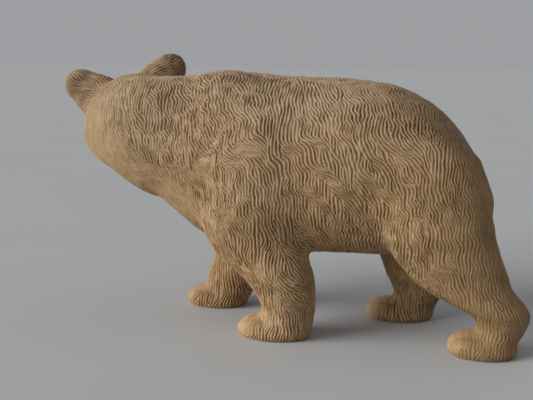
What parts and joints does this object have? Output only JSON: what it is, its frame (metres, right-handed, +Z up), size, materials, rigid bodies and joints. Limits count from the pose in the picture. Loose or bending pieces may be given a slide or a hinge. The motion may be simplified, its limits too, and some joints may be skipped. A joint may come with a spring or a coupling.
{
  "type": "carved wooden bear figurine",
  "caption": "Carved wooden walking bear with its head turned to one side and a gouged fur texture, a free-standing ornament.",
  "frame": {"origin": "on the surface the bear stands on, below the centre of its bounding box", "axes": "+Z up; the bear walks along -X, so +X points to its tail and is its longest way; +Y is to the bear's right, the side its head is turned to"},
  "size_m": [0.3082, 0.128, 0.1713],
  "materials": {
    "pale_limewood": "raw, hand-carved, unvarnished",
    "beech_dowel": "turned and sanded",
    "eye_glass": "polished, opaque black"
  },
  "bodies": {
    "root": {"centre_plank": "pale_limewood", "left_side_plank": "pale_limewood", "right_side_plank": "pale_limewood", "head_block": "pale_limewood", "left_ear": "pale_limewood", "right_ear": "pale_limewood", "left_eye": "eye_glass", "right_eye": "eye_glass", "neck_dowel_upper": "beech_dowel", "neck_dowel_lower": "beech_dowel", "cross_dowel_shoulder": "beech_dowel", "cross_dowel_back": "beech_dowel", "cross_dowel_hip": "beech_dowel", "cross_dowel_belly": "beech_dowel"}
  },
  "joints": []
}
